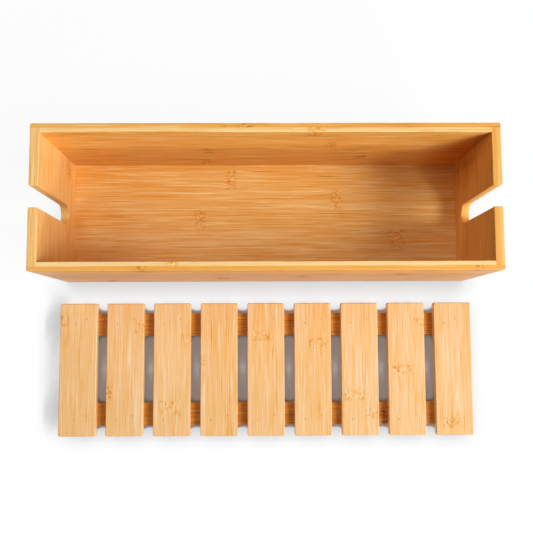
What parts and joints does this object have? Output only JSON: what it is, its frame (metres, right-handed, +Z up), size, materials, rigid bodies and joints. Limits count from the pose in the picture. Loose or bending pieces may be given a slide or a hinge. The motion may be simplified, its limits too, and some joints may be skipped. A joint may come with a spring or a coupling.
{
  "type": "cable management box",
  "caption": "Long open bamboo box with a round-ended cable slot in each end board and a slatted lift-off lid on battens, shown with the lid laid in front.",
  "frame": {"origin": "middle of the box's underside, on the table plane", "axes": "+X along the box's length, +Y to the back of the box, +Z up; the lid lies towards -Y"},
  "size_m": [0.402, 0.2765, 0.125],
  "materials": {
    "box_bamboo": "satin clear lacquer on laminated bamboo",
    "slat_bamboo": "satin clear lacquer on laminated bamboo",
    "batten_bamboo": "satin clear lacquer on laminated bamboo",
    "brad_steel": "dull"
  },
  "bodies": {
    "box": {"base_panel": "box_bamboo", "front_panel": "box_bamboo", "back_panel": "box_bamboo", "left_end_panel": "box_bamboo", "right_end_panel": "box_bamboo"},
    "lid": {"lid_slat_1": "slat_bamboo", "lid_slat_2": "slat_bamboo", "lid_slat_3": "slat_bamboo", "lid_slat_4": "slat_bamboo", "lid_slat_5": "slat_bamboo", "lid_slat_6": "slat_bamboo", "lid_slat_7": "slat_bamboo", "lid_slat_8": "slat_bamboo", "lid_slat_9": "slat_bamboo", "lid_batten_front": "batten_bamboo", "lid_batten_back": "batten_bamboo", "lid_brads": "brad_steel"}
  },
  "joints": [
    {"name": "lid_lift", "type": "slide", "parent": "box", "child": "lid", "axis": [0, 0, 1], "range_m": [0, 0.16]}
  ]
}
